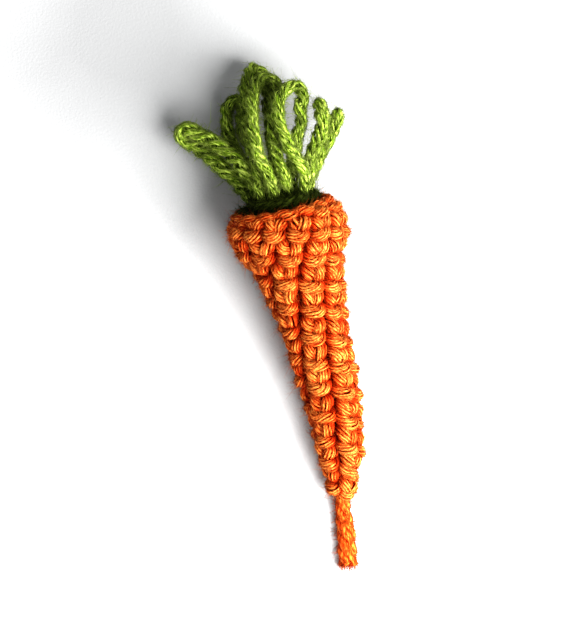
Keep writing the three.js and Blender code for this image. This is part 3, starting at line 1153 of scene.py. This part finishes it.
@dataclass
class Leaf:
    """One leaf: a loop of yarn with both ends in the cap, or a cut strand with one.

    Attributes:
        name: of the leaf, as in its node's name.
        feet: where each end stands on the cap, as distances to the right and up.
        way: the points that it follows between its ends.
        seed: of the random draws.
        yarn: the yarn.
        plumper: factor on the radius of this leaf.
        foot_size: factor on the radius where the yarn is squeezed in the cap.
        cap_top: distance of the cap's top from the tip.
        foot_depth: how far the ends go into the cap.
        foot_taper: length over which the yarn swells out of the cap.
        step: distance between points of the yarn.
        slack: random sideways wander of the yarn.
        round_end: length over which a cut end is rounded.
        fibres_per_length: wisps, and four times as many standing fibres, on each millimetre.
        brush: fibres that stand out of a cut end.
    """

    name: str
    feet: Sequence[tuple[float, float]]
    way: Sequence[tuple[float, float, float]]
    seed: int
    yarn: Yarn = Yarn(radius=1.25, plies=4, pitch=9.0, sides=8, plumpness=0.86, unevenness=0.26, cored=True)
    plumper: float = 1.0
    foot_size: float = 0.75
    cap_top: float = 59.0
    foot_depth: float = 2.6
    foot_taper: float = 3.0
    step: float = 0.35
    slack: float = 0.12
    round_end: float = 0.9
    fibres_per_length: float = 12.0
    brush: Brush = Brush(count=260, length=0.7, splay=0.3)

    def path(self) -> Array:
        """The yarn's way from its foot in the cap, and for a loop back down into it."""
        depths = np.array([self.cap_top - self.foot_depth, self.cap_top])
        ends = [SPINE.beside(depths, np.full(2, across), np.full(2, above)) for across, above in self.feet]
        last = [end[::-1] for end in ends[1:]]
        return smooth_path(np.vstack([ends[0], self.way, *last]), self.step)

    def strand(self) -> Strand:
        """The leaf's yarn, thin at its feet with painted shade there, and rounded at a cut end."""
        path = self.path()
        distance = travelled(path)
        rng = np.random.default_rng(self.seed)
        loop = len(self.feet) > 1
        from_foot = np.minimum(distance, distance[-1] - distance) if loop else distance
        free = smoothstep(from_foot, self.foot_depth, self.foot_depth + self.foot_taper)
        stray = np.stack([wander(distance, 9.0, rng) for _ in range(3)], axis=1)
        path = path + self.slack * free[:, None] * stray
        size = self.foot_size + (self.plumper - self.foot_size) * free
        size = size + 0.06 * free * wander(distance, 6.0, rng)
        opening = 1.0 + 0.05 * wander(distance, 8.0, rng) * free
        if not loop:
            near_end = np.clip(1.0 - (distance[-1] - distance) / self.round_end, 0.0, 1.0)
            size = size * np.sqrt(1.0 - 0.8 * near_end**2)
        # Painted shade at the feet, where the yarn goes into the cap, fading out above it.
        painted_shade_along = 0.8 * (1.0 - smoothstep(from_foot, self.foot_depth - 1.0, self.foot_depth + 4.0))
        return Strand(self.yarn, path, size, opening, painted_shade_along, self.seed)

    def build(self, workshop: Workshop, finish: bpy.types.Material, fibre_finish: bpy.types.Material) -> None:
        """Makes the leaf, with the fibres on it."""
        strand = self.strand()
        plies = strand.plies()
        plies.points[:, 2] = np.maximum(plies.points[:, 2], 0.0)
        count = round(self.fibres_per_length * strand.distance[-1])
        wisps = Wisps(count=count, span=2.6, rise=0.2, drift=0.3, stations=4)
        fuzz = Fuzz(count=4 * count, length=1.0, thickness=0.04, lift=0.5, stray=0.8, seed=self.seed)
        fibres = [wisps.laid(strand), fuzz.grown(plies)]
        if len(self.feet) == 1:
            fibres.append(self.brush.fanned(strand))
        workshop.piece(f"yarn_{self.name}", plies, finish, [f"leaf_{self.name}"])
        workshop.piece(f"fibres_{self.name}", Surface.joined(fibres), fibre_finish)


@dataclass
class LeafTuft:
    """The leaves, in the places where they fall.

    Attributes:
        leaves: the loops and strands.
    """

    leaves: Sequence[Leaf] = (
        Leaf(
            name="loop_left",
            feet=((-3.9, -0.3), (-5.6, -2.3)),
            way=(
                (-5.7, 61.9, 11.4), (-6.8, 64.4, 11.1), (-7.9, 66.8, 10.4), (-9.8, 69.2, 9.4), (-12.2, 71.7, 8.2),
                (-14.8, 73.6, 7.1), (-16.7, 75.0, 6.1), (-17.9, 74.4, 5.0), (-17.4, 73.1, 4.2), (-15.3, 71.3, 4.2),
                (-13.4, 69.1, 4.6), (-11.4, 66.5, 5.6), (-9.3, 63.8, 7.1), (-7.7, 61.1, 8.5),
            ),
            seed=31,
            plumper=1.22,
        ),
        Leaf(
            name="loop_low",
            feet=((-2.9, -4.7), (0.2, -5.4)),
            way=(
                (-5.6, 63.0, 6.4), (-7.5, 67.6, 5.4), (-8.6, 70.9, 4.6), (-9.0, 73.4, 4.0), (-8.9, 75.6, 3.6),
                (-8.2, 77.6, 3.4), (-7.0, 78.8, 3.3), (-5.8, 78.6, 3.4), (-5.6, 77.0, 3.6), (-6.1, 74.9, 3.8),
                (-6.2, 72.6, 4.2), (-5.3, 69.6, 4.7), (-4.1, 66.4, 5.3), (-2.6, 63.6, 5.9),
            ),
            seed=32,
        ),
        Leaf(
            name="loop_tall",
            feet=((-0.7, 3.6), (2.0, 2.6)),
            way=(
                (-2.8, 63.0, 15.9), (-3.8, 66.5, 15.9), (-4.3, 70.0, 15.1), (-4.1, 73.4, 13.8), (-3.6, 76.8, 12.0),
                (-2.9, 79.4, 10.2), (-1.6, 81.2, 8.7), (0.2, 81.9, 7.8), (1.6, 80.6, 8.4), (1.5, 78.5, 9.6),
                (0.3, 75.6, 11.1), (-0.5, 73.0, 12.1), (-0.7, 70.3, 13.0), (-0.7, 67.6, 13.8), (-0.3, 63.8, 14.5),
            ),
            seed=33,
        ),
        Leaf(
            name="loop_behind",
            feet=((-3.3, 2.4), (-0.9, 0.5)),
            way=(
                (-4.7, 62.7, 13.9), (-4.9, 66.8, 13.0), (-5.3, 70.8, 11.6), (-5.1, 73.7, 10.3), (-4.6, 77.7, 8.3),
                (-4.1, 80.7, 6.6), (-3.1, 83.3, 4.8), (-1.7, 84.3, 3.6), (-0.5, 83.2, 3.4), (0.0, 81.2, 4.2),
                (-0.2, 78.6, 5.9), (-0.4, 75.2, 7.9), (-0.7, 72.4, 9.3), (-0.9, 69.6, 10.4), (-1.0, 66.6, 11.3),
                (-1.4, 63.6, 11.7),
            ),
            seed=34,
        ),
        Leaf(
            name="loop_right",
            feet=((4.9, 2.2), (3.0, -0.1)),
            way=(
                (4.0, 62.4, 14.8), (3.3, 64.5, 15.4), (2.5, 66.9, 15.8), (1.7, 69.4, 15.9), (1.1, 71.9, 15.6),
                (0.9, 74.2, 14.9), (1.6, 76.6, 13.6), (2.6, 78.5, 12.2), (4.0, 79.3, 11.2), (5.6, 79.3, 10.4),
                (6.4, 78.2, 10.3), (6.2, 76.6, 10.7), (5.4, 74.9, 11.1), (5.3, 73.0, 11.5), (4.6, 71.0, 11.9),
                (3.7, 68.7, 12.2), (2.5, 65.9, 12.3), (1.7, 62.8, 12.1),
            ),
            seed=35,
        ),
        Leaf(
            name="strand_left",
            feet=((5.9, -0.7),),
            way=(
                (4.9, 62.6, 11.6), (5.8, 65.0, 12.0), (6.9, 67.0, 12.3), (8.4, 69.2, 12.4), (9.2, 71.6, 12.2),
                (9.3, 73.9, 11.7), (9.0, 76.0, 11.0),
            ),
            seed=36,
            plumper=1.1,
        ),
        Leaf(
            name="strand_right",
            feet=((4.8, -3.4),),
            way=(
                (5.4, 62.6, 8.6), (7.4, 65.1, 8.7), (9.1, 67.4, 8.6), (10.6, 69.6, 8.3), (11.9, 71.5, 7.9),
                (12.7, 73.5, 7.4),
            ),
            seed=37,
            plumper=1.12,
        ),
    )

    def build(self, workshop: Workshop, finish: bpy.types.Material, fibre_finish: bpy.types.Material) -> None:
        """Makes the leaves."""
        for leaf in self.leaves:
            leaf.build(workshop, finish, fibre_finish)


@dataclass
class LeafCap:
    """The green yarn that closes the top: a flat coil, then turns down the side.

    Attributes:
        yarn: the yarn.
        outline: the outside from the middle of the top, as distances from the tip and radii.
        turn_height: length along the outline taken by one turn.
        start: length along the outline at which the coil starts.
        step: distance between points of the yarn.
        wisps: fibres that lie on it.
        fuzz: fibres that stand off it.
    """

    yarn: Yarn = Yarn(radius=1.15, plies=4, pitch=7.5, sides=8, unevenness=0.15)
    outline: Sequence[tuple[float, float]] = (
        (58.0, 0.0), (58.0, 3.0), (57.8, 4.8), (57.2, 6.0), (56.0, 6.4), (54.4, 6.4),
    )
    turn_height: float = 2.15
    start: float = 1.0
    step: float = 0.35
    wisps: Wisps = Wisps(count=1400, rise=0.5, stations=6, seed=63)
    fuzz: Fuzz = Fuzz(count=5000, length=1.4, lift=1.0, seed=53)

    def build(self, workshop: Workshop, finish: bpy.types.Material, fibre_finish: bpy.types.Material) -> None:
        """Makes the cap, with the fibres on it."""
        outline = Outline(self.outline)
        turns = (outline.length - self.start) / self.turn_height
        turn = np.linspace(0.0, turns, round(turns * 60))
        rng = np.random.default_rng(41)
        worked = self.start + turn * self.turn_height + 0.2 * wander(turn * 20.0, 9.0, rng)
        depth = self.yarn.radius + 0.25 * wander(turn * 20.0, 4.0, rng)
        along, radius = outline.at(worked, depth)
        angle = FULL_TURN * turn
        path = SPINE.beside(along, radius * np.sin(angle), radius * np.cos(angle))
        path = even_steps(path, self.step)
        ones = np.ones(len(path))
        strand = Strand(self.yarn, path, ones, ones, 0.0 * ones, seed=41)
        plies = strand.plies()
        fibres = Surface.joined([self.wisps.laid(strand), self.fuzz.grown(plies)])
        workshop.piece("cap_coil", plies, finish, ["leaf_cap"])
        workshop.piece("cap_fibres", fibres, fibre_finish)


@dataclass
class Stuffing:
    """The filling: a lumpy body of fibre that follows the inside of the root.

    Attributes:
        outline: its outside, as distances from the tip and radii.
        around: points round it.
        rows: points along it.
        lumps: share of the radius by which tufts stand out.
        fill: how tightly it is filled; not used.
    """

    outline: Sequence[tuple[float, float]] = (
        (10.0, 0.0), (11.0, 0.4), (20.0, 1.1), (32.0, 1.9), (42.0, 3.4), (48.5, 5.6), (52.3, 6.6), (52.9, 0.0),
    )
    around: int = 48
    rows: int = 90
    lumps: float = 0.07
    fill: float = 0.8

    def build(self, workshop: Workshop, finish: bpy.types.Material) -> bpy.types.Object:
        """Makes the filling: the outline turned about the spine, with waves of two sizes on its radius."""
        outline = Outline(self.outline)
        worked = np.linspace(0.0, outline.length, self.rows)[:, None]
        angle = FULL_TURN * np.arange(self.around)[None] / self.around
        along, radius = outline.at(worked, np.zeros_like(worked))
        waves = np.sin(3 * angle + 0.55 * worked) * np.sin(0.9 * worked) + 0.5 * np.sin(7 * angle - 1.3 * worked)
        radius = np.maximum(radius, 0.02) * (1.0 - self.lumps + self.lumps * waves)
        points = SPINE.beside(along + 0.0 * angle, radius * np.sin(angle), radius * np.cos(angle))
        index = np.arange(self.rows * self.around).reshape(self.rows, self.around)
        after = np.roll(index, -1, axis=1)
        quads = np.stack([index[:-1], index[1:], after[1:], after[:-1]], axis=-1).reshape(-1, 4)
        flat = points.reshape(-1, 3)
        surface = Surface(
            points=flat,
            quads=quads,
            caps=np.stack([index[0], index[-1, ::-1]]),
            quad_uv=np.zeros((len(quads), 4, 2)),
            hollow=np.zeros(len(flat)),
            outward=np.zeros_like(flat),
            heading=np.zeros_like(flat),
        )
        made = workshop.piece("fibre_filling", surface, finish, ["stuffing"])
        return made


@dataclass
class Studio:
    """The paper that the carrot lies on, the light and the camera.

    Attributes:
        image: width and height of the picture in pixels; not used.
        picture_height: height of the picture at the carrot, in millimetres.
        focus_height: height above the paper at which that holds, in millimetres.
        centre: the picture's middle in the frame, in millimetres.
        turn: angle by which the carrot leans left in the picture.
        distance: of the camera from the carrot, in metres.
        sensor: of the camera, in millimetres.
    """

    image: tuple[int, int] = (588, 640)
    picture_height: float = 123.1
    focus_height: float = 9.0
    centre: tuple[float, float] = (-0.14, -0.75)
    turn: float = math.radians(10.5)
    distance: float = 1.0
    sensor: float = 36.0

    def camera(self) -> bpy.types.Object:
        """Makes the camera, which looks straight down."""
        data = bpy.data.cameras.new("camera")
        data.sensor_width = self.sensor
        data.lens = self.sensor * self.distance / (self.picture_height * METRES)
        made = bpy.data.objects.new("camera", data)
        x, y = self.centre
        made.location = (x * METRES, y * METRES, self.focus_height * METRES + self.distance)
        made.rotation_euler = (0.0, 0.0, -self.turn)
        bpy.context.scene.collection.objects.link(made)
        bpy.context.scene.camera = made
        return made

    def floor(self) -> bpy.types.Object:
        """Makes the sheet of paper."""
        mesh = bpy.data.meshes.new("paper")
        half = 1.5
        mesh.from_pydata([(-half, -half, 0), (half, -half, 0), (half, half, 0), (-half, half, 0)], [], [(0, 1, 2, 3)])
        mesh.materials.append(PAPER.material())
        made = bpy.data.objects.new("paper", mesh)
        bpy.context.scene.collection.objects.link(made)
        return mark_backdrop(made)

    def lamp(
        self, name: str, azimuth: float, elevation: float, distance: float, size: float, power: float
    ) -> None:
        """Makes a square lamp that faces the carrot.

        Args:
            name: of the lamp.
            azimuth: its direction in degrees, anticlockwise from the right of the picture.
            elevation: its height in degrees.
            distance: from the carrot in metres.
            size: of its side in metres.
            power: in watts.
        """
        data = bpy.data.lights.new(name, "AREA")
        data.size = size
        data.energy = power
        made = bpy.data.objects.new(name, data)
        around = math.radians(azimuth) - self.turn
        rise = math.radians(elevation)
        made.location = (
            distance * math.cos(rise) * math.cos(around),
            distance * math.cos(rise) * math.sin(around),
            distance * math.sin(rise),
        )
        made.rotation_euler = made.location.to_track_quat("Z", "Y").to_euler()
        bpy.context.scene.collection.objects.link(made)

    def light(self) -> None:
        """Lights the carrot from the lower right, with a pale sky all round."""
        self.lamp("window", azimuth=-31.0, elevation=41.0, distance=0.5, size=0.46, power=10.2)
        world = bpy.data.worlds.new("sky")
        world.use_nodes = True
        world.node_tree.nodes["Background"].inputs["Color"].default_value = (0.97, 0.985, 1.0, 1.0)
        world.node_tree.nodes["Background"].inputs["Strength"].default_value = 0.57
        bpy.context.scene.world = world
        bpy.context.scene.view_settings.view_transform = "Standard"
        bpy.context.scene.view_settings.look = "High Contrast"


def main() -> None:
    """Builds the studio, then the carrot piece by piece."""
    logging.basicConfig(level=logging.INFO, format="%(name)s %(message)s")
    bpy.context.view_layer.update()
    studio = Studio()
    studio.camera()
    studio.floor()
    studio.light()

    workshop = Workshop()
    CrochetedRoot().build(workshop, ORANGE.material(), ORANGE_FIBRES.material())
    Tail().build(workshop, ORANGE_TAIL_WEAK_HIGHLIGHTS.material())
    Stuffing().build(workshop, FILL.material())
    LeafCap().build(workshop, GREEN_PAINTED_SHADE.material(), GREEN_FIBRES_PAINTED_SHADE.material())
    LeafTuft().build(workshop, GREEN.material(), GREEN_FIBRES.material())

    bpy.context.view_layer.update()


if __name__ == "__main__":
    main()
